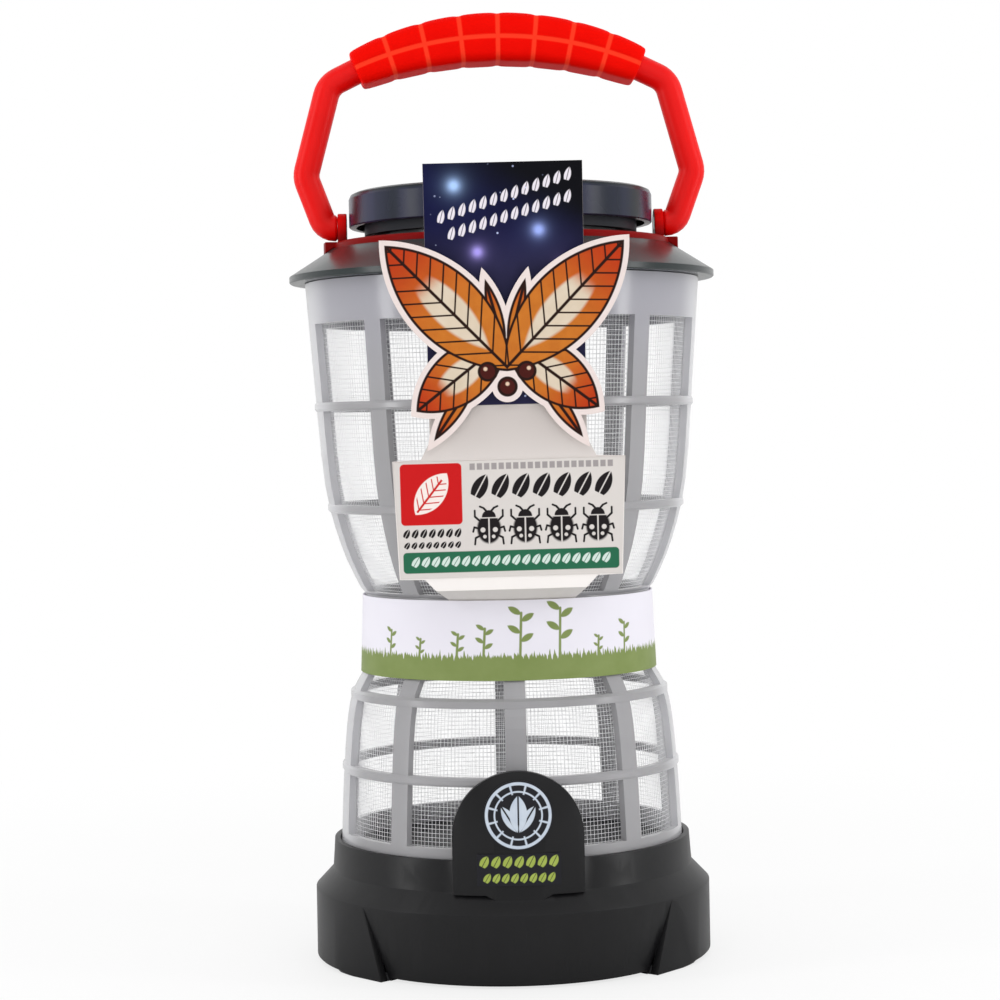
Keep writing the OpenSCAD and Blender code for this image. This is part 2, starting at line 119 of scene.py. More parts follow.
# Right half of the die-cut spray: its leaves as (stem, tip, width), and its berries.
LEAVES = [
    ((-2.5, 159), (32, 195), 21), ((-1.5, 170), (25, 149.5), 17), ((6, 162), (21, 140.3), 7),
    ((-0.5, 163), (6, 187.5), 6.5),
]
BERRIES = [(0, 156.5), (5, 160.5)]
BERRY_R = 4
# Middle of the badge's disc on the shield.
BADGE_Z = 45.2


# ---- Working with meshes ----


def only(piece):
    """Makes a piece the one selected and active object."""
    bpy.ops.object.select_all(action="DESELECT")
    piece.select_set(True)
    bpy.context.view_layer.objects.active = piece


def begin(name):
    """Starts an empty mesh at the origin and leaves it open in edit mode."""
    bpy.ops.object.select_all(action="DESELECT")
    bpy.ops.mesh.primitive_plane_add(size=0.01, location=(0, 0, 0))
    piece = bpy.context.object
    piece.name = piece.data.name = name
    bpy.ops.object.mode_set(mode="EDIT")
    bpy.ops.mesh.delete(type="VERT")
    return piece


def finish_mesh(merge=1e-6):
    """Merges the open mesh's doubles, turns its faces outwards and leaves edit mode."""
    bpy.ops.mesh.select_all(action="SELECT")
    bpy.ops.mesh.remove_doubles(threshold=merge)
    bpy.ops.mesh.normals_make_consistent(inside=False)
    bpy.ops.object.mode_set(mode="OBJECT")


def modify(piece, kind, **settings):
    """Adds a modifier with its settings and applies it."""
    only(piece)
    modifier = piece.modifiers.new(kind.title(), kind)
    for key, value in settings.items():
        setattr(modifier, key, value)
    bpy.ops.object.modifier_apply(modifier=modifier.name)


def smooth(piece, degrees):
    """Smooths a piece's shading, apart from edges that turn by more than an angle."""
    only(piece)
    bpy.ops.object.shade_smooth_by_angle(angle=math.radians(degrees))
    return piece


def dress(piece, material, body=None, node=None):
    """Gives a piece its material and its body, and hides the node that it stands for."""
    piece.data.materials.clear()
    piece.data.materials.append(material)
    if body:
        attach(piece, body)
    if node:
        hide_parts(node)


def softened(node, width, name):
    """A copy of a node with its loose triangles joined and its sharp edges rounded."""
    piece = nodes[node].copy()
    piece.data = nodes[node].data.copy()
    piece.name = piece.data.name = name
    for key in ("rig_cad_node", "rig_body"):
        if key in piece:
            del piece[key]
    piece.parent = None
    bpy.context.scene.collection.objects.link(piece)
    only(piece)
    bpy.ops.object.mode_set(mode="EDIT")
    bpy.ops.mesh.select_all(action="SELECT")
    bpy.ops.mesh.remove_doubles(threshold=2e-6)
    bpy.ops.mesh.dissolve_limited(angle_limit=math.radians(0.8))
    bpy.ops.object.mode_set(mode="OBJECT")
    modify(
        piece, "BEVEL", width=width, segments=2, limit_method="ANGLE",
        angle_limit=math.radians(28), use_clamp_overlap=True, harden_normals=False,
    )
    return smooth(piece, 30)


def catmull(p0, p1, p2, p3, t):
    """The point at t between p1 and p2 on a smooth curve through four points."""

    def blend(a, b, c, d):
        square, cube = 2 * a - 5 * b + 4 * c - d, 3 * b - a - 3 * c + d
        return 0.5 * (2 * b + (c - a) * t + square * t * t + cube * t ** 3)

    return tuple(blend(*four) for four in zip(p0, p1, p2, p3))


def smooth_line(points):
    """The same smooth line through a list of points that the cage's wall follows."""
    steps = 3
    ends = [points[0]] + points + [points[-1]]
    line = [
        catmull(*ends[i:i + 4], s / steps)
        for i in range(len(points) - 1)
        for s in range(steps)
    ]
    return line + [points[-1]]


def along(line, low, high, pitch):
    """Points on a line of (radius, height) between two heights, evenly spaced along its length."""
    fine = []
    parts = 40
    for (r0, z0), (r1, z1) in zip(line, line[1:]):
        for s in range(parts):
            t = s / parts
            z = z0 + (z1 - z0) * t
            if low <= z <= high:
                fine.append((r0 + (r1 - r0) * t, z))
    picked = [fine[0]]
    for point in fine:
        if math.dist(point, picked[-1]) >= pitch:
            picked.append(point)
    return picked


# ---- Shader maths ----


def paint(red, green, blue):
    """A colour given as it looks on screen, from 0 to 255, as the linear colour a socket holds."""

    def linear(c):
        c /= 255
        return c / 12.92 if c <= 0.04045 else ((c + 0.055) / 1.055) ** 2.4

    return (linear(red), linear(green), linear(blue), 1.0)


class Value:
    """A socket in a material that ordinary arithmetic can be written with."""

    def __init__(self, finish, socket):
        self.finish, self.socket = finish, socket

    def math(self, operation, *others):
        return self.finish.node("Math", {"operation": operation}, dict(enumerate((self,) + others)))

    def __add__(self, other):
        return self.math("ADD", other)

    __radd__ = __add__

    def __sub__(self, other):
        return self.math("SUBTRACT", other)

    def __rsub__(self, other):
        return self.finish.node("Math", {"operation": "SUBTRACT"}, {0: other, 1: self})

    def __mul__(self, other):
        return self.math("MULTIPLY", other)

    def __truediv__(self, other):
        return self.math("DIVIDE", other)

    def __rtruediv__(self, other):
        return self.finish.node("Math", {"operation": "DIVIDE"}, {0: other, 1: self})

    def __neg__(self):
        return self * -1

    def __abs__(self):
        return self.math("ABSOLUTE")

    def at_least(self, other):
        return self.math("MAXIMUM", other)

    def at_most(self, other):
        return self.math("MINIMUM", other)

    def root(self):
        return self.math("SQRT")

    def fraction(self):
        return self.math("FRACT")

    def ramp(self, low, high):
        """0 below low, 1 above high, smooth between."""
        settings = {"interpolation_type": "SMOOTHSTEP", "clamp": True}
        return self.finish.node("MapRange", settings, {0: self, 1: low, 2: high, 3: 0.0, 4: 1.0})

    def inside(self, soft=0.12):
        """1 where a distance is below zero, 0 outside, with an edge as soft as print."""
        return 1 - self.ramp(-soft, soft)


class Finish:
    """One material, built from nodes."""

    def __init__(self, name, **sockets):
        self.material = bpy.data.materials.new(name)
        self.material.use_nodes = True
        self.tree = self.material.node_tree
        self.tree.nodes.clear()
        self.output = self.tree.nodes.new("ShaderNodeOutputMaterial")
        self.skin = self.tree.nodes.new("ShaderNodeBsdfPrincipled")
        self.tree.links.new(self.skin.outputs[0], self.output.inputs[0])
        self.set(**sockets)

    def feed(self, socket, value):
        """Links a Value to a socket, or sets the socket to a plain number, colour or vector."""
        if isinstance(value, Value):
            self.tree.links.new(value.socket, socket)
        else:
            if socket.type == "RGBA" and len(value) == 3:
                value = tuple(value) + (1.0,)
            socket.default_value = value

    def node(self, kind, settings=None, sockets=None, out=0):
        """Adds a node with its settings, then feeds its sockets, and gives one of its outputs."""
        made = self.tree.nodes.new("ShaderNode" + kind)
        for key, value in (settings or {}).items():
            setattr(made, key, value)
        for key, value in (sockets or {}).items():
            self.feed(made.inputs[key], value)
        return Value(self, made.outputs[out])

    def set(self, **sockets):
        """Feeds the plastic or paper's own sockets: base_color feeds Base Color, and so on."""
        for key, value in sockets.items():
            name = key.replace("_", " ").title().replace("Ior", "IOR")
            self.feed(self.skin.inputs[name], value)
        return self

    def place(self):
        """The point's X, Y and Z in millimetres."""
        coordinates = self.node("TexCoord", out="Object")
        split = self.node("SeparateXYZ", None, {0: coordinates}).socket.node
        return tuple(Value(self, split.outputs[i]) * (1 / MM) for i in range(3))

    def angle(self, across, ahead):
        """The angle round an axis, in radians, from the direction ahead."""
        return self.node("Math", {"operation": "ARCTAN2"}, {0: across, 1: ahead})

    def noise(self, size, detail=3.0):
        """Noise from 0 to 1 with features of about a size in millimetres."""
        coordinates = self.node("TexCoord", out="Object")
        sockets = {"Vector": coordinates, "Scale": 1 / MM / size, "Detail": detail}
        return self.node("TexNoise", None, {**sockets, "Roughness": 0.55})

    def mix(self, share, below, above):
        """The colour below, covered by the colour above where share is 1."""
        made = self.node("Mix", {"data_type": "RGBA", "clamp_factor": True}, {0: share}, out=2)
        node = made.socket.node
        self.feed(node.inputs[6], below)
        self.feed(node.inputs[7], above)
        return made

    def bump(self, height, depth):
        """Feeds a height from 0 to 1, with its depth in millimetres, to the surface's normal."""
        made = self.node("Bump", None, {"Strength": 1.0, "Distance": depth * MM, "Height": height})
        self.feed(self.skin.inputs["Normal"], made)

    def cover(self, share, other):
        """Mixes another shader over the plastic or paper."""
        skin = Value(self, self.skin.outputs[0])
        both = self.node("MixShader", None, {0: share, 1: skin, 2: other})
        self.tree.links.new(both.socket, self.output.inputs[0])

    def glow_through(self, share, colour):
        """Lets light from behind shine through thin plastic."""
        self.cover(share, self.node("BsdfTranslucent", None, {0: colour}))

    # Shapes for printed artwork, as distances in millimetres that are negative inside.

    def disc(self, u, w, centre, radius):
        across, up = u - centre[0], w - centre[1]
        return (across * across + up * up).root() - radius

    def stroke(self, u, w, start, end, width):
        """A straight line between two points."""
        run = Vector(end) - Vector(start)
        length = run.length
        run /= length
        across, up = u - start[0], w - start[1]
        down_it = (across * run.x + up * run.y).at_least(0).at_most(length)
        gap_u, gap_w = across - down_it * run.x, up - down_it * run.y
        return (gap_u * gap_u + gap_w * gap_w).root() - width / 2

    def leaf(self, u, w, stem, tip, width):
        """A pointed leaf. Gives its distance, the way along from its middle, and the way across."""
        run = Vector(tip) - Vector(stem)
        length = run.length
        run /= length
        middle = (Vector(tip) + Vector(stem)) / 2
        radius = (length ** 2 + width ** 2) / (4 * width)
        across, up = u - middle.x, w - middle.y
        lengthwise = across * run.x + up * run.y
        sideways = abs(across * run.y - up * run.x)
        reach = sideways + (radius - width / 2)
        return (lengthwise * lengthwise + reach * reach).root() - radius, lengthwise, sideways


# ---- Finishes ----

SHIELD_GROUND = paint(36, 36, 40)


def moulded(name, colour, roughness, grain, depth, **sockets):
    """Plain moulded plastic with a fine grain and slightly uneven colour and gloss.

    The grain's size and depth are in millimetres.
    """
    f = Finish(name, **sockets)
    cloud = f.noise(14, 2.0)
    fine = f.noise(grain, 2.0)
    darker = tuple(c * 0.88 for c in colour[:3])
    lighter = tuple(min(1, c * 1.07 + 0.002) for c in colour[:3])
    f.set(base_color=f.mix(cloud, darker, lighter), roughness=cloud * 0.12 + (roughness - 0.06))
    f.bump(fine, depth)
    return f


def black_plastic():
    f = moulded("black_plastic", paint(15, 15, 17), 0.52, 0.35, 0.03, specular_ior_level=0.1)
    return f.set(coat_weight=0.3, coat_roughness=0.3).material


def cage_plastic():
    """Cloudy white plastic that lets light through, so it looks grey against white.

    It is painted paler at the sides of the cage, a painted sheen that stands in for the light at its
    edges.
    """
    f = Finish("cage_plastic", specular_ior_level=0.3, coat_roughness=0.16)
    f.set(sheen_weight=0.6, sheen_roughness=0.25, coat_weight=1.0)
    x, y, z = f.place()
    cloud = f.noise(22, 2.0)
    base = f.mix(cloud, paint(151, 150, 152), paint(163, 162, 165))
    base = f.mix(z.ramp(150, 186), base, paint(166, 165, 174))
    # Painted sheen: the sides of the cage are painted paler, standing in for the light at its edges.
    side = (abs(x) / (x * x + y * y).root()).ramp(0.86, 1.02)
    base = f.mix(side, base, paint(224, 224, 228))
    f.set(base_color=base, roughness=0.36 + cloud * 0.08, alpha=0.84)
    f.glow_through(0.12, (0.9, 0.9, 0.92, 1))
    f.bump(f.noise(0.5, 2.0), 0.015)
    return f.material


def net_thread():
    f = Finish("net_thread", roughness=0.5, specular_ior_level=0.3)
    f.set(base_color=f.mix(f.noise(3), paint(238, 238, 242), paint(250, 250, 252)))
    f.glow_through(0.75, (1, 1, 1, 1))
    return f.material


def smoked_plastic():
    f = Finish("smoked_plastic", specular_ior_level=0.35)
    cloud = f.noise(18, 2.0)
    smoke = f.mix(cloud, paint(24, 33, 34), paint(33, 43, 44))
    f.set(base_color=smoke, roughness=0.2 + cloud * 0.08, alpha=0.94)
    f.bump(f.noise(0.6, 2.0), 0.008)
    return f.material


def red_plastic():
    red = moulded("red_plastic", paint(230, 5, 3), 0.38, 0.4, 0.012, specular_ior_level=0.16)
    return red.material


def yoke_plastic():
    """Red plastic with painted shade: the ring, which lies in the cap's shade, is painted a deeper
    red than the ears.
    """
    f = Finish("yoke_plastic", specular_ior_level=0.04)
    x, y, z = f.place()
    cloud = f.noise(14, 2.0)
    # Painted shade: the ring's deeper red stands in for the cap's shade, and the ears are painted as
    # lit.
    ring = f.mix(cloud, paint(118, 4, 4), paint(130, 6, 6))
    ear_out_of_painted_shade = z.ramp(YOKE_TOP + 0.35, 204)
    f.set(base_color=f.mix(ear_out_of_painted_shade, ring, paint(212, 8, 6)), roughness=cloud * 0.1 + 0.34)
    f.bump(f.noise(0.4, 2.0), 0.012)
    return f.material


def grip_rubber():
    """Soft red rubber, paler in its grooves."""
    f = Finish("grip_rubber", specular_ior_level=0.015)
    x, y, z = f.place()
    cloud = f.noise(9, 2.0)
    red = f.mix(cloud, paint(228, 8, 2), paint(238, 14, 5))
    radius, middle = BAR_ARC
    last_cross, face_depth = math.radians(21.2), 7.6
    turn = f.angle(x, z - middle)
    distance = (x * x + (z - middle) * (z - middle)).root()
    cross = abs((turn / GRIP_PITCH + 0.5).fraction() - 0.5) * GRIP_PITCH * distance
    cross = cross.at_least(abs(turn) * 100 - last_cross * 100)
    long = abs(distance - radius).at_least(face_depth - abs(y))
    groove = 1 - cross.at_most(long).ramp(0.35, 0.85)
    f.set(base_color=f.mix(groove, red, paint(250, 58, 34)), roughness=0.44 + cloud * 0.08)
    f.bump(f.noise(0.35, 2.0), 0.02)
    return f.material


def cap_plastic():
    """Satin blue-grey plastic with faint upright streaks of painted reflection round its wall."""
    f = Finish("cap_plastic", specular_ior_level=0.2)
    x, y, z = f.place()
    sockets = {"W": f.angle(x, -y), "Scale": 3.4, "Detail": 1.5}
    # Painted reflection: paler blue-grey upright streaks stand in for lamps reflected in the wall.
    painted_reflection_streak = f.node("TexNoise", {"noise_dimensions": "1D"}, sockets)
    on_wall = (211.2 - z).ramp(0, 1)
    colour = f.mix(painted_reflection_streak.ramp(0.3, 0.7) * on_wall, paint(20, 28, 34), paint(42, 44, 70))
    cloud = f.noise(14, 2.0)
    f.set(base_color=colour, roughness=0.22 + cloud * 0.1)
    f.bump(f.noise(0.5, 2.0), 0.008)
    return f.material


def dark_plastic(name, colour):
    return moulded(name, paint(*colour), 0.5, 0.3, 0.02, specular_ior_level=0.2).material


def steel():
    f = Finish("screw_steel", metallic=1.0)
    f.set(base_color=f.mix(f.noise(1.5), paint(168, 168, 172), paint(205, 205, 208)), roughness=0.3)
    return f.material


def foam(name, colour):
    f = Finish(name, roughness=0.85)
    f.set(base_color=f.mix(f.noise(0.6), paint(*[c - 22 for c in colour]), paint(*colour)))
    f.bump(f.noise(0.4), 0.1)
    return f.material


def printed(name):
    """Coated card or paper, ready for its artwork."""
    f = Finish(name, roughness=0.45, specular_ior_level=0.08)
    f.bump(f.noise(0.35, 2.0), 0.012)
    return f


def card_place(f):
    """The place on the hung card: across it, up along it from height 0, and in front of it."""
    x, y, z = f.place()
    across, up = x - CARD_X, (z - CARD_FOLD) * LEAN_SCALE
    turn_c, turn_s = math.cos(CARD_TURN), math.sin(CARD_TURN)
    along_it = up * turn_c - across * turn_s + CARD_FOLD * LEAN_SCALE
    in_front = -(y + (CARD_Y - CARD_LID_Z * CARD_LEAN) + z * CARD_LEAN)
    return across * turn_c + up * turn_s, along_it, in_front


def card_print():
    """A night sky with glowing stars and two rows of leaves, over pale card with painted shade
    towards its top.
    """
    f = printed("card_print")
    u, p, out = card_place(f)
    w = p / LEAN_SCALE
    # Painted shade: the card is painted darker towards the top and paler lower down.
    paper_out_of_painted_shade = w.ramp(150, 112) * (f.noise(40) * 0.3 + 0.7)
    paper = f.mix(paper_out_of_painted_shade, paint(202, 194, 190), paint(248, 244, 241))
    night = f.mix((u * 0.6 + w).ramp(196, 216), paint(12, 14, 62), paint(4, 4, 8))
    sky = f.mix(w.ramp(202, 184), night, paint(44, 42, 76))
    sky = f.mix(f.noise(9) * 0.5, sky, paint(8, 8, 16))
    for centre, size, colour in (
        ((-12.6, 208.1), 1.5, (172, 205, 255)), ((-6.9, 191.2), 1.3, (170, 156, 240)),
        ((8.9, 196.5), 1.4, (158, 178, 250)), ((14.5, 187.5), 1.0, (170, 150, 230)),
    ):
        glow = f.disc(u, w, centre, 0) / size
        sky = f.mix(1 / (glow * glow * glow + 1), sky, paint(*colour))
    coordinates = f.node("TexCoord", out="Object")
    stars = f.node("TexVoronoi", {"feature": "F1"}, {"Vector": coordinates, "Scale": 330.0})
    star = (1 - stars.ramp(0.05, 0.12)) * f.noise(7).ramp(0.45, 0.6)
    sky = f.mix(star, sky, paint(190, 200, 240))
    leaves = paint(226, 220, 228)
    for start, slope, long in (((-17.4, 199.6), 17.2, 37.0), ((-14.8, 195.4), 16.3, 34.0)):
        slope = math.radians(slope)
        along_row = (u - start[0]) * math.cos(slope) + (w - start[1]) * math.sin(slope)
        off_row = (w - start[1]) * math.cos(slope) - (u - start[0]) * math.sin(slope)
        sky = leaf_row(f, along_row, off_row, (0, long, -1.8, 1.8), 2.9, leaves, sky, 0.4, 0.6)
    sky_half_width, sky_low = 20.4, 152
    face = f.mix((abs(u) - sky_half_width).at_least(sky_low - w).inside(), paper, sky)
    f.set(base_color=f.mix(out.ramp(0.2, 0.3), paint(206, 202, 198), face))
    return f.material


def within(u, left, right):
    """Negative between two edges."""
    return abs(u - (left + right) / 2) - (right - left) / 2


def dashes(f, u, w, box, pitch, gap, colour, face):
    """A row of plain blocks across a box of (left, right, low, high)."""
    left, right, low, high = box
    count = round((right - left + gap) / pitch)
    pitch = (right - left + gap) / count
    dash = within(((u - left) / pitch).fraction() * pitch, 0, pitch - gap)
    mark = dash.at_least(within(w, low, high)).at_least(within(u, left, right))
    return f.mix(mark.inside(), face, colour)


def leaf_row(f, u, w, box, pitch, colour, face, lean, plump):
    """A row of small leaves, each with a bare midrib, in a box of (left, right, low, high).

    The lean and the width of a leaf are shares of the pitch.
    """
    left, right, low, high = box
    pitch = (right - left) / round((right - left) / pitch)
    half = (high - low) / 2
    across = ((u - left) / pitch).fraction() * pitch - pitch / 2
    leaf, lengthwise, sideways = f.leaf(
        across, w - (low + high) / 2, (-pitch * lean, -half), (pitch * lean, half), pitch * plump,
    )
    mark = leaf.at_least((0.03 * pitch - sideways).at_least(-0.7 * half - lengthwise))
    return f.mix(mark.at_least(within(u, left, right)).inside(0.1), face, colour)


def beetle_row(f, u, w, box, pitch, colour, face):
    """A row of plain beetles, seen from above, in a box of (left, right, low, high)."""
    left, right, low, high = box
    pitch = (right - left) / round((right - left) / pitch)
    tall = (high - low) / 10
    across = abs(((u - left) / pitch).fraction() * pitch - pitch / 2) / tall
    up = (w - (low + high) / 2) / tall
    body = ((across * across) / 9 + ((up + 0.7) * (up + 0.7)) / 14).root() - 1
    body = body.at_least(0.18 - across).at_least(up - 1.9)
    mark = body.at_most(f.disc(across, up, (0, 2.2), 1.75).at_least(2.15 - up))
    for start, knee, end in (
        ((2.2, 1.2), (3.5, 2.4), (3.5, 3.9)), ((2.6, -0.6), (3.7, -0.3), (4.0, -1.4)),
        ((2.2, -2.4), (3.4, -3.0), (3.6, -4.6)), ((0.5, 3.6), (1.3, 4.5), (2.2, 4.9)),
    ):
        mark = mark.at_most(f.stroke(across, up, start, knee, 0.55))
        mark = mark.at_most(f.stroke(across, up, knee, end, 0.5))
    spots = f.disc(across, up, (1.55, -1.0), 0.62).at_most(f.disc(across, up, (1.1, -2.7), 0.45))
    mark = mark.at_least(-spots).at_least(within(u, left, right))
    return f.mix(mark.inside(0.1), face, colour)


def round_block(u, w, box, corner):
    """Distance to a box of (left, right, low, high) with rounded corners."""
    left, right, low, high = box
    across = (abs(u - (left + right) / 2) - ((right - left) / 2 - corner)).at_least(0)
    up = (abs(w - (low + high) / 2) - ((high - low) / 2 - corner)).at_least(0)
    return (across * across + up * up).root() - corner


def label_print():
    """A leaf in a red block, rows of leaves and beetles, and a green bar of leaves."""
    f = printed("label_print")
    u, p, _ = card_place(f)
    w = p / LEAN_SCALE
    face = f.mix(f.noise(40), paint(208, 202, 198), paint(216, 211, 207))
    dark = paint(30, 26, 28)
    red = paint(198, 26, 28)
    face = f.mix(round_block(u, w, (-28.4, -12.4, 121.2, 137.2), 1.1).inside(), face, red)
    leaf, lengthwise, sideways = f.leaf(u, w, (-24.6, 124), (-16.2, 134.6), 7)
    face = f.mix(leaf.inside(), face, paint(240, 228, 222))
    side_vein = abs(((lengthwise - sideways * 0.9) / 2.1).fraction() - 0.5) * 2.1 - 0.2
    veins = (sideways - 0.28).at_most(side_vein).at_least(lengthwise - 4.6)
    face = f.mix(veins.at_least(leaf + 0.5).inside(), face, red)
    face = leaf_row(f, u, w, (-10.5, 27.2, 127.0, 134.1), 5.4, dark, face, 0.36, 0.72)
    face = beetle_row(f, u, w, (-10.3, 27.6, 115.4, 125.8), 9.5, dark, face)
    face = dashes(f, u, w, (-10.3, 27.0, 135.3, 137.0), 1.9, 0.5, paint(158, 152, 152), face)
    face = leaf_row(f, u, w, (-28.2, -12.6, 117.5, 120.2), 2.2, dark, face, 0.32, 0.7)
    face = leaf_row(f, u, w, (-28.0, -12.8, 114.8, 116.8), 1.9, dark, face, 0.34, 0.7)
    bar = round_block(u, w, (-28.1, 28.3, 108.6, 114.1), 1.0)
    face = f.mix(bar.inside(), face, paint(42, 104, 76))
    pale = paint(206, 222, 214)
    face = leaf_row(f, u, w, (-26.2, 26.2, 109.8, 112.9), 2.6, pale, face, 0.36, 0.7)
    f.set(base_color=face)
    return f.material


def motif_print():
    """A spray of orange leaves and dark berries on a white border."""
    f = printed("motif_print")
    u, p, out = card_place(f)
    middle_z = 165
    w = p - middle_z * (LEAN_SCALE - 1)
    side = abs(u)
    border, line = 1.4, 0.65
    outline = paint(38, 20, 16)
    shapes = [f.leaf(side, w, *leaf)[0] for leaf in LEAVES]
    shapes += [f.disc(side, w, centre, BERRY_R) for centre in BERRIES]
    whole = shapes[0]
    for shape in shapes[1:]:
        whole = whole.at_most(shape)
    face = f.mix((whole + border).inside(0.15), paint(228, 214, 210), outline)
    for stem, tip, width in reversed(LEAVES):
        half = math.dist(stem, tip) / 2
        distance, lengthwise, sideways = f.leaf(side, w, stem, tip, width)
        to_tip = lengthwise.ramp(-half * 0.2, half * 0.85)
        flesh = f.mix(to_tip, paint(206, 124, 44), paint(190, 52, 20))
        flesh = f.mix(f.noise(4) * 0.5, flesh, paint(150, 62, 22))
        if width > 10:
            pale = f.mix(f.noise(5), paint(222, 208, 190), paint(204, 186, 160))
            inner = (distance + width * 0.3).inside(0.5) * lengthwise.ramp(half * 0.42, half * 0.2)
            flesh = f.mix(inner, flesh, pale)
            vein = abs(((lengthwise - sideways * 0.9) / 4.6).fraction() - 0.5) * 4.6 - 0.3
            flesh = f.mix(vein.inside(0.15), flesh, outline)
        flesh = f.mix((sideways - 0.4).inside(0.15), flesh, outline)
        face = f.mix((distance + border).inside(0.15), face, outline)
        face = f.mix((distance + border + line).inside(0.15), face, flesh)
    for centre in BERRIES:
        distance = f.disc(side, w, centre, BERRY_R)
        face = f.mix((distance + border).inside(0.15), face, outline)
        face = f.mix((distance + border + line + 0.05).inside(0.15), face, paint(70, 24, 20))
        shine = f.disc(side, w, (centre[0] * 1.12, centre[1] + 0.7), 0.5)
        face = f.mix(shine.inside(0.2), face, paint(226, 196, 170))
    f.set(base_color=f.mix(out.ramp(2.2, 2.4), paint(232, 228, 224), face))
    return f.material


def band_print():
    """White paper with grass along its lower edge and small plants."""
    f = printed("band_print")
    x, y, z = f.place()
    waist_radius = 41
    round_it = f.angle(x, -y) * waist_radius
    face = f.mix(f.noise(30), paint(220, 217, 226), paint(230, 228, 236))
    leafy = f.mix(f.noise(6), paint(116, 132, 74), paint(132, 146, 92))
    for centre, height in (
        (-15.6, 7.5), (-8.2, 9), (1.6, 13), (12.4, 14), (24, 6), (-27, 6), (34, 9), (-38, 8),
    ):
        mark = f.stroke(round_it, z, (centre, 83), (centre + 0.6, 84 + height), 0.7)
        for share, lean in ((0.45, 1), (0.62, -1), (0.86, 1), (1.0, -1)):
            foot = (centre + 0.6 * share, 83.6 + height * share)
            tip = (foot[0] + lean * height * 0.27, foot[1] + height * 0.16)
            mark = mark.at_most(f.leaf(round_it, z, foot, tip, height * 0.13)[0])
        face = f.mix(mark.inside(0.15), face, leafy)
    sockets = {"W": round_it, "Scale": 1.4, "Detail": 3.0}
    blades = f.node("TexNoise", {"noise_dimensions": "1D"}, sockets)
    top = z - (blades * 5.2 + 83.2)
    f.set(base_color=f.mix(top.inside(0.25), face, leafy))
    return f.material


def badge_print():
    """A pale leaf inside a ring of lines on the shield's dark ground."""
    f = printed("badge_print")
    x, y, z = f.place()
    up = z - BADGE_Z
    pale = f.mix(f.noise(3), paint(178, 190, 208), paint(206, 214, 222))
    rim_radius, ring_radius, ray_count = 8.3, 6.2, 12
    from_middle = f.disc(x, up, (0, 0), 0)
    rim = abs(from_middle - rim_radius) - 0.4
    ring = abs(from_middle - ring_radius) - 0.22
    turn = f.angle(x, up) * (ray_count / (2 * math.pi))
    rays = (abs(turn.fraction() - 0.5) * 2.4 - 0.16).at_least(5.6 - from_middle)
    mark = rim.at_most(ring).at_most(rays.at_least(from_middle - rim_radius))
    for stem, tip, width in (
        ((0, -4.6), (0, 5.2), 4.6), ((0.2, -4.4), (4.4, 2.4), 3), ((-0.2, -4.4), (-4.4, 2.4), 3),
    ):
        leaf, _, sideways = f.leaf(x, up, stem, tip, width)
        mark = mark.at_most(leaf.at_least(0.22 - sideways))
    f.set(base_color=f.mix(mark.inside(0.1), SHIELD_GROUND, pale))
    return f.material


def strip_print():
    """Two rows of lime leaves on the shield's dark ground."""
    f = printed("strip_print")
    x, y, z = f.place()
    lime = f.mix(f.noise(2), paint(142, 160, 66), paint(170, 184, 96))
    face = leaf_row(f, x, z, (-10.6, 10.6, 31.3, 34.7), 3.1, lime, SHIELD_GROUND, 0.3, 0.72)
    face = leaf_row(f, x, z, (-9.6, 9.6, 27.4, 30.2), 2.4, lime, face, 0.34, 0.72)
    f.set(base_color=face)
    return f.material


# ---- Settings ----


class JarSizes(bpy.types.PropertyGroup):
    """Sizes that can be changed without changing the frame."""

    thread_pitch: FloatProperty(
        name="Thread pitch", description="Distance between the threads of the netting",
        default=1.1 * MM, min=0.6 * MM, max=3 * MM, unit="LENGTH",
    )
    thread_width: FloatProperty(
        name="Thread width", description="Thickness of one thread of the netting",
        default=0.125 * MM, min=0.08 * MM, max=0.5 * MM, unit="LENGTH",
    )
    bar_width: FloatProperty(
        name="Bar width", description="Thickness of the handle's bar",
        default=7.3 * MM, min=5 * MM, max=7.6 * MM, unit="LENGTH",
    )
    edge_round: FloatProperty(
        name="Edge rounding", description="Rounding of the moulded edges",
        default=0.35 * MM, min=0.05 * MM, max=0.6 * MM, unit="LENGTH",
    )


class StageSettings(bpy.types.PropertyGroup):
    """Camera and light."""

    distance: FloatProperty(
        name="Distance", description="Distance from the camera to the jar's axis",
        default=0.717, min=0.2, max=3, unit="LENGTH",
    )
    height: FloatProperty(
        name="Height", description="Height of the camera above the table",
        default=0.1462, min=0, max=1, unit="LENGTH",
    )
    yaw: FloatProperty(
        name="Yaw", description="How far the camera stands to the left of the front",
        default=math.radians(1.9), subtype="ANGLE",
    )
    roll: FloatProperty(
        name="Roll", description="How far the picture is turned",
        default=math.radians(1.09), subtype="ANGLE",
    )
    key_power: FloatProperty(
        name="Key light", description="Strength of the main lamp in watts",
        default=4.0, min=0, max=100,
    )
    sweep_level: FloatProperty(
        name="Sweep level", description="Brightness of the white sweep behind and beside the jar",
        default=1.0, min=0, max=2,
    )
    room_level: FloatProperty(
        name="Room level", description="Brightness of the room on the camera's side",
        default=0.3, min=0, max=2,
    )


def sizes():
    return bpy.context.scene.bug_jar_sizes


def staging():
    return bpy.context.scene.bug_jar_stage


# ---- Pieces ----


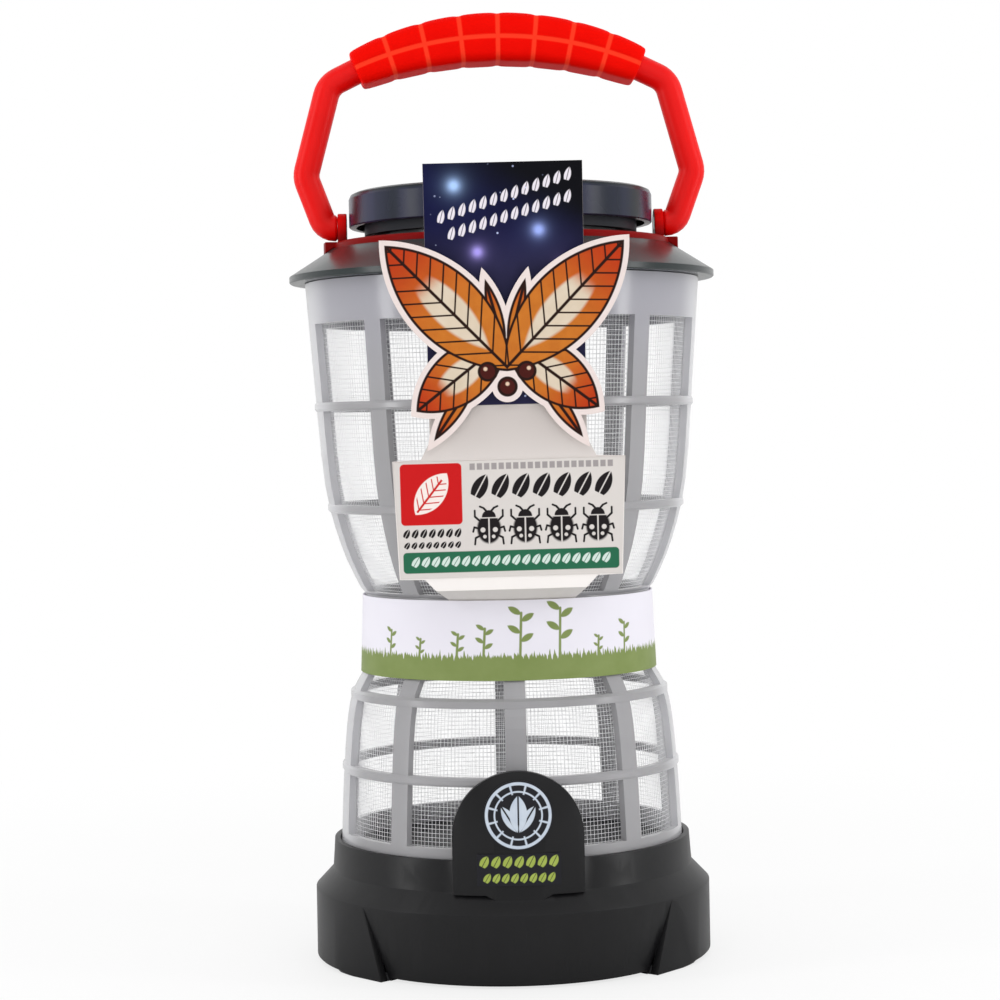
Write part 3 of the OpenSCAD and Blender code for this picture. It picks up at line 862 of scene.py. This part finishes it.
def net_panel(name, wall, low, high, side):
    """One panel of netting: hoops and upright threads that follow the cage's wall from inside."""
    pitch, width = sizes().thread_pitch, sizes().thread_width
    hoop_steps, upright_step = 56, 3.2
    line = [(r - NET_INSET, z) for r, z in smooth_line(wall)]
    hoops = begin(name)
    for r, z in along(line, low, high, pitch / MM):
        bpy.ops.mesh.primitive_circle_add(
            vertices=4, radius=width / 2, fill_type="NOTHING", location=(r * MM, 0, z * MM),
            rotation=(math.pi / 2, 0, 0),
        )
    bpy.ops.mesh.select_all(action="SELECT")
    bpy.ops.mesh.spin(steps=hoop_steps, angle=math.pi, center=(0, 0, 0), axis=(0, 0, 1))
    bpy.ops.mesh.select_all(action="SELECT")
    bpy.ops.mesh.fill_holes(sides=4)
    finish_mesh()
    uprights = begin(name + "_uprights")
    path = along(line, low, high, upright_step)
    r, z = path[0]
    bpy.ops.mesh.primitive_circle_add(
        vertices=4, radius=width / 2, fill_type="NOTHING", location=(r * MM, 0, z * MM),
    )
    for (r0, z0), (r1, z1) in zip(path, path[1:]):
        push_ring((r1 - r0, z1 - z0))
    bpy.ops.mesh.select_all(action="SELECT")
    bpy.ops.mesh.fill_holes(sides=4)
    bpy.ops.mesh.select_all(action="SELECT")
    count = round(math.pi * path[len(path) // 2][0] / (pitch / MM))
    bpy.ops.mesh.spin(steps=count, dupli=True, angle=math.pi, center=(0, 0, 0), axis=(0, 0, 1))
    finish_mesh()
    only(hoops)
    uprights.select_set(True)
    bpy.ops.object.join()
    if sum(v.co.y for v in hoops.data.vertices) * side < 0:
        bpy.ops.object.mode_set(mode="EDIT")
        bpy.ops.mesh.select_all(action="SELECT")
        bpy.ops.transform.rotate(value=math.pi, orient_axis="Z", center_override=(0, 0, 0))
        bpy.ops.object.mode_set(mode="OBJECT")
    return hoops


def bend_ring(centre, angle, steps):
    """Spins the selected ring about an axis along Y, towards +X where the angle is positive."""
    middle = (centre[0] * MM, 0, centre[1] * MM)
    bpy.ops.mesh.spin(steps=steps, angle=-angle, center=middle, axis=(0, 1, 0))


def push_ring(run):
    """Extrudes the selected ring by a run of (x, height)."""
    move = {"value": (run[0] * MM, 0, run[1] * MM)}
    bpy.ops.mesh.extrude_region_move(TRANSFORM_OT_translate=move)


def ring_centre(piece):
    """The middle of the selected points as (x, height) in millimetres."""
    points = [v.co for v in bmesh.from_edit_mesh(piece.data).verts if v.select]
    middle = sum(points, Vector()) / len(points) / MM
    return Vector((middle.x, middle.z))


def handle_bar():
    """The handle's round bar: its right half from pivot to middle, then mirrored."""
    radius = sizes().bar_width / 2
    end_radius = radius - BAR_CHAMFER * MM
    piece = begin("handle_bar")
    bpy.ops.mesh.primitive_circle_add(
        vertices=24, radius=end_radius, fill_type="NOTHING",
        location=(BAR_START * MM, 0, PIVOT_Z * MM), rotation=(0, math.pi / 2, 0),
    )
    push_ring((BAR_CHAMFER, 0))
    widen = radius / end_radius
    bpy.ops.transform.resize(
        value=(1, widen, widen), center_override=((BAR_START + BAR_CHAMFER) * MM, 0, PIVOT_Z * MM),
    )
    arc_radius, arc_z = BAR_ARC
    grip_start = Vector((arc_radius * math.sin(GRIP_END), arc_z + arc_radius * math.cos(GRIP_END)))
    corners = [Vector(corner[:2]) for corner in ARM_LINE] + [grip_start]
    heading = Vector((1, 0))
    for corner, after, bend in zip(corners, corners[1:], [corner[2] for corner in ARM_LINE]):
        out = (after - corner).normalized()
        turn = heading.angle_signed(out)
        reach = bend * math.tan(abs(turn) / 2)
        push_ring(corner - heading * reach - ring_centre(piece))
        side = 1 if turn > 0 else -1
        centre = corner - heading * reach + Vector((heading.y, -heading.x)) * bend * side
        bend_ring(centre, turn, max(4, round(abs(turn) * bend / 0.9)))
        if (ring_centre(piece) - (corner + out * reach)).length > 0.05:
            raise RuntimeError("The handle's bar turned the wrong way at a bend.")
        heading = out
    push_ring(grip_start - ring_centre(piece))
    bend_ring((0, arc_z), -GRIP_END, 10)
    finish_mesh()
    modify(piece, "MIRROR", use_axis=(True, False, False), merge_threshold=0.05 * MM)
    bpy.ops.object.mode_set(mode="EDIT")
    bpy.ops.mesh.select_all(action="SELECT")
    bpy.ops.mesh.fill_holes(sides=0)
    finish_mesh()
    return smooth(piece, 50)


def grip_section(turn, inset):
    """Points round the grip at an angle along the bar, as (depth, distance from the bar's centre).

    They run from the top round the back edge, the underside and the front edge, with a groove
    halfway down each face.
    """

    def out_to(radius, height):
        shift = height - radius - BAR_ARC[1]
        return shift * math.cos(turn) + math.sqrt(radius ** 2 - (shift * math.sin(turn)) ** 2)

    half = GRIP_DEPTH / 2 - inset
    low, high = out_to(*GRIP_UNDER) + inset, out_to(*GRIP_TOP) - inset
    upper, lower = GRIP_ROUND
    deep = max(GROOVE_DEPTH, inset) - inset
    groove = [(0.95, 0), (0.5, deep), (-0.5, deep), (-0.95, 0)]
    points = []
    for corner, (side, level, inward, radius) in enumerate(
        ((1, high, -1, upper), (1, low, 1, lower), (-1, low, 1, lower), (-1, high, -1, upper))
    ):
        flat = side * (half - radius)
        for step in range(6):
            a = math.pi / 2 - (corner * 5 + step) * math.pi / 10
            rise = inward * radius + radius * math.sin(a)
            points.append((flat + radius * math.cos(a), level + rise))
        if corner in (0, 2):
            points += [(side * (half - depth), BAR_ARC[0] + up) for up, depth in groove[::side]]
        else:
            points += [(flat * share, level) for share in (0.5, 0, -0.5)]
    return points


def grip_sleeve():
    """The soft grip: a rounded section carried along the bar, drawn in at shallow cross grooves."""
    rounded_end = ((0, 1.1), (0.16, 0.45), (0.55, 0.05))
    cross_groove = (
        (-2.2, 0), (-0.62, 0.03), (-0.3, GROOVE_DEPTH), (0.3, GROOVE_DEPTH), (0.62, 0.03), (2.2, 0),
    )
    turns = [(-GRIP_END + math.radians(step), inset) for step, inset in rounded_end]
    for i in range(-3, 4):
        turns += [(i * GRIP_PITCH + math.radians(step), inset) for step, inset in cross_groove]
    turns += [(-turn, inset) for turn, inset in turns[2::-1]]
    sections = [grip_section(turn, inset) for turn, inset in turns]
    around = len(sections[0])
    columns = len(turns) - 1
    bpy.ops.mesh.primitive_grid_add(x_subdivisions=columns, y_subdivisions=around, size=2)
    piece = bpy.context.object
    piece.name = piece.data.name = "grip_waffle"
    across = sorted({round(v.co.x, 4) for v in piece.data.vertices})
    upward = sorted({round(v.co.y, 4) for v in piece.data.vertices})
    for v in piece.data.vertices:
        i, j = across.index(round(v.co.x, 4)), upward.index(round(v.co.y, 4))
        depth, distance = sections[i][j % around]
        turn = turns[i][0]
        x, z = distance * math.sin(turn), BAR_ARC[1] + distance * math.cos(turn)
        v.co = Vector((x, depth, z)) * MM
    bpy.ops.object.mode_set(mode="EDIT")
    bpy.ops.mesh.select_all(action="SELECT")
    bpy.ops.mesh.remove_doubles(threshold=0.01 * MM)
    bpy.ops.mesh.fill_holes(sides=0)
    finish_mesh(0.01 * MM)
    modify(piece, "SUBSURF", levels=1, render_levels=1)
    return smooth(piece, 60)


def yoke_body():
    """The red ring under the cap, with a block on each side that carries a foot of the handle."""
    yoke = softened("yoke_ring", 0.25 * MM, "yoke_body")
    brim_radius, brim_z = BRIM
    over_cone, ring_under = 0.1, 196.4
    blocks = []
    for side in (1, -1):
        bpy.ops.mesh.primitive_cube_add(size=1, location=(0, 0, 0))
        block = bpy.context.object
        bpy.ops.object.mode_set(mode="EDIT")
        bpy.ops.mesh.select_all(action="SELECT")
        bpy.ops.mesh.subdivide(number_cuts=7)
        bpy.ops.object.mode_set(mode="OBJECT")
        for v in block.data.vertices:
            across, deep, up = v.co.x + 0.5, v.co.y * BLOCK_DEPTH, v.co.z + 0.5
            x = math.sqrt(YOKE_R ** 2 - deep ** 2) + across * BLOCK_WIDTH
            foot = brim_z + LID_SLOPE * (brim_radius - math.hypot(x, deep)) + over_cone
            if across < 0.45:
                foot = max(foot, ring_under)
            v.co = Vector((side * x, deep, foot * (1 - up) + YOKE_TOP * up)) * MM
        bpy.ops.object.mode_set(mode="EDIT")
        finish_mesh()
        modify(
            block, "BEVEL", width=0.45 * MM, segments=2, limit_method="ANGLE",
            angle_limit=math.radians(40),
        )
        blocks.append(block)
    only(yoke)
    for block in blocks:
        block.select_set(True)
    bpy.ops.object.join()
    return smooth(yoke, 35)


# ---- Stage ----


def photo_camera():
    s = staging()
    bpy.ops.object.camera_add()
    camera = bpy.context.object
    camera.name = "photo_camera"
    camera.data.sensor_width = 36
    camera.data.lens = 92.2
    camera.data.shift_x = -0.0043
    camera.data.shift_y = -0.073
    camera.data.clip_start = 0.01
    place = Vector((-math.sin(s.yaw) * s.distance, -math.cos(s.yaw) * s.distance, s.height))
    upright = Matrix.Rotation(math.pi / 2, 4, "X") @ Matrix.Rotation(-s.roll, 4, "Z")
    turn = Matrix.Rotation(-s.yaw, 4, "Z")
    camera.matrix_world = Matrix.Translation(place) @ turn @ upright
    bpy.context.scene.camera = camera


def white_surround():
    """A world that is white behind and beside the jar, and dimmer on the camera's side."""
    s = staging()
    world = bpy.data.worlds.new("white_sweep")
    bpy.context.scene.world = world
    world.use_nodes = True
    tree = world.node_tree
    tree.nodes.clear()

    def add(kind, *values):
        """Adds a node, with a value or a link for each socket in turn, or None."""
        made = tree.nodes.new("ShaderNode" + kind)
        for socket, value in zip(made.inputs, values):
            if isinstance(value, bpy.types.NodeSocket):
                tree.links.new(value, socket)
            elif value is not None:
                socket.default_value = value
        return made

    direction = add("SeparateXYZ", add("TexCoord").outputs["Generated"])
    front, side = -0.95, 0.1
    level = add("MapRange", direction.outputs["Y"], front, side, s.room_level, s.sweep_level)
    ray = add("LightPath").outputs
    seen = add("Math", ray["Is Camera Ray"], ray["Is Transmission Ray"])
    seen.operation = "MAXIMUM"
    strength = add("Mix", seen.outputs[0], None, level.outputs[0], 1.0)
    surround = add("Background", (1, 1, 1, 1), strength.outputs[0])
    add("OutputWorld", surround.outputs[0])


def lamp(name, place, size, power):
    """A soft rectangular lamp that points at the jar."""
    bpy.ops.object.light_add(type="AREA", location=place)
    made = bpy.context.object
    made.name = name
    made.data.energy = power
    made.data.shape = "RECTANGLE"
    made.data.size, made.data.size_y = size
    aim = Vector((0, 0, 0.13)) - Vector(place)
    made.rotation_euler = aim.to_track_quat("-Z", "Y").to_euler()


def white_table():
    """A table that the camera sees as white, apart from part of the jar's shadow."""
    bpy.ops.mesh.primitive_plane_add(size=6, location=(0, 0, -0.0002))
    table = bpy.context.object
    table.name = "table"
    f = Finish("table_white")
    f.set(base_color=paint(238, 238, 238), roughness=0.6)
    shine = f.node("Emission", None, {0: (1, 1, 1, 1), 1: 1.0})
    ray = f.node("LightPath").socket.node.outputs
    seen = Value(f, ray["Is Camera Ray"]).at_least(Value(f, ray["Is Transmission Ray"]))
    x, y, z = f.place()
    near, far, shade = 90, 420, 0.25
    f.cover(seen * ((x * x + y * y).root().ramp(near, far) * shade + (1 - shade)), shine)
    table.data.materials.append(f.material)


# ---- Operators ----


class JarOperator:
    """What the operators share."""

    bl_options = {"REGISTER", "UNDO"}


class BUGJAR_OT_stage(JarOperator, bpy.types.Operator):
    """Sets up the camera, the lamps, the white surround and the table"""

    bl_idname = "bugjar.stage"
    bl_label = "Stage"

    def execute(self, context):
        context.scene.view_settings.view_transform = "Standard"
        photo_camera()
        white_surround()
        side_power = staging().key_power * 0.4
        lamp("key_light", (0.08, -0.85, 0.62), (1.4, 0.9), staging().key_power)
        lamp("left_strip", (-0.66, -0.24, 0.3), (0.12, 0.7), side_power)
        lamp("right_strip", (0.66, -0.24, 0.3), (0.12, 0.7), side_power)
        white_table()
        return {"FINISHED"}


class BUGJAR_OT_base(JarOperator, bpy.types.Operator):
    """Dresses the black base, its cover, screws, floor and badge"""

    bl_idname = "bugjar.base"
    bl_label = "Base"

    def execute(self, context):
        base = softened("base_shell", sizes().edge_round, "base_body")
        dress(base, black_plastic(), "jar", "base_shell")
        dress(nodes["base_cover"], dark_plastic("cover_plastic", (46, 46, 48)))
        dress(nodes["base_screws"], steel())
        dress(nodes["floor_plate"], dark_plastic("floor_plastic", (44, 44, 46)))
        dress(nodes["badge_disc"], badge_print())
        dress(nodes["badge_strip"], strip_print())
        return {"FINISHED"}


class BUGJAR_OT_cage(JarOperator, bpy.types.Operator):
    """Dresses the two halves of the cage"""

    bl_idname = "bugjar.cage"
    bl_label = "Cage"

    def execute(self, context):
        cloudy = cage_plastic()
        for node in ("cage_front", "cage_back"):
            dress(nodes[node], cloudy)
        return {"FINISHED"}


class BUGJAR_OT_netting(JarOperator, bpy.types.Operator):
    """Weaves the four panels of netting"""

    bl_idname = "bugjar.netting"
    bl_label = "Netting"

    def execute(self, context):
        thread = net_thread()
        for side, where in ((FRONT, "front"), (BACK, "back")):
            for part, wall, low, high in (
                ("upper", UPPER_WALL, 101.5, 184), ("lower", LOWER_WALL, 31, 78.5),
            ):
                panel = net_panel(f"netting_{where}_{part}", wall, low, high, side)
                dress(panel, thread, "jar", f"net_{where}_{part}")
        return {"FINISHED"}


class BUGJAR_OT_lid(JarOperator, bpy.types.Operator):
    """Dresses the smoked lid and the red ring that carries the handle"""

    bl_idname = "bugjar.lid"
    bl_label = "Lid"

    def execute(self, context):
        dress(nodes["lid_cone"], smoked_plastic())
        dress(yoke_body(), yoke_plastic(), "jar", "yoke_ring")
        return {"FINISHED"}


class BUGJAR_OT_cap(JarOperator, bpy.types.Operator):
    """Dresses the twist cap with its sleeve and liner"""

    bl_idname = "bugjar.cap"
    bl_label = "Cap"

    def execute(self, context):
        dress(nodes["cap_shell"], cap_plastic())
        dress(nodes["cap_sleeve"], dark_plastic("cap_dark", (38, 42, 50)))
        dress(nodes["cap_liner"], foam("liner_foam", (216, 216, 216)))
        return {"FINISHED"}


class BUGJAR_OT_handle(JarOperator, bpy.types.Operator):
    """Builds the handle's bar and dresses its grip and pins"""

    bl_idname = "bugjar.handle"
    bl_label = "Handle"

    def execute(self, context):
        dress(handle_bar(), red_plastic(), "handle", "handle_bail")
        dress(grip_sleeve(), grip_rubber(), "handle", "grip_sleeve")
        metal = steel()
        dress(nodes["pivot_pin_left"], metal)
        dress(nodes["pivot_pin_right"], metal)
        return {"FINISHED"}


class BUGJAR_OT_packaging(JarOperator, bpy.types.Operator):
    """Dresses the paper band, the hang card, its label and the die-cut spray of leaves"""

    bl_idname = "bugjar.packaging"
    bl_label = "Packaging"

    def execute(self, context):
        dress(nodes["belly_band"], band_print())
        dress(nodes["hang_card"], card_print())
        dress(nodes["card_label"], label_print())
        dress(nodes["motif_card"], motif_print())
        dress(nodes["motif_pads"], foam("pad_foam", (238, 238, 238)))
        return {"FINISHED"}


class BUGJAR_PT_panel(bpy.types.Panel):
    """Lists the jar's pieces and settings"""

    bl_idname = "BUGJAR_PT_panel"
    bl_label = "Bug catcher jar"
    bl_space_type = "VIEW_3D"
    bl_region_type = "UI"
    bl_category = "Bug jar"

    def draw(self, context):
        column = self.layout.column()
        for operator in OPERATORS:
            column.operator(operator.bl_idname)
        for group in (context.scene.bug_jar_sizes, context.scene.bug_jar_stage):
            box = self.layout.box()
            for key in group.bl_rna.properties.keys():
                if key not in ("rna_type", "name"):
                    box.prop(group, key)


OPERATORS = (
    BUGJAR_OT_stage, BUGJAR_OT_base, BUGJAR_OT_cage, BUGJAR_OT_netting, BUGJAR_OT_lid,
    BUGJAR_OT_cap, BUGJAR_OT_handle, BUGJAR_OT_packaging,
)
CLASSES = (JarSizes, StageSettings) + OPERATORS + (BUGJAR_PT_panel,)


def register():
    for cls in CLASSES:
        bpy.utils.register_class(cls)
    bpy.types.Scene.bug_jar_sizes = PointerProperty(type=JarSizes)
    bpy.types.Scene.bug_jar_stage = PointerProperty(type=StageSettings)


def unregister():
    del bpy.types.Scene.bug_jar_stage
    del bpy.types.Scene.bug_jar_sizes
    for cls in reversed(CLASSES):
        bpy.utils.unregister_class(cls)


def main():
    register()
    bpy.ops.bugjar.stage()
    bpy.ops.bugjar.base()
    bpy.ops.bugjar.cage()
    bpy.ops.bugjar.netting()
    bpy.ops.bugjar.lid()
    bpy.ops.bugjar.cap()
    bpy.ops.bugjar.handle()
    bpy.ops.bugjar.packaging()
    bpy.ops.object.select_all(action="DESELECT")


if __name__ == "__main__":
    main()
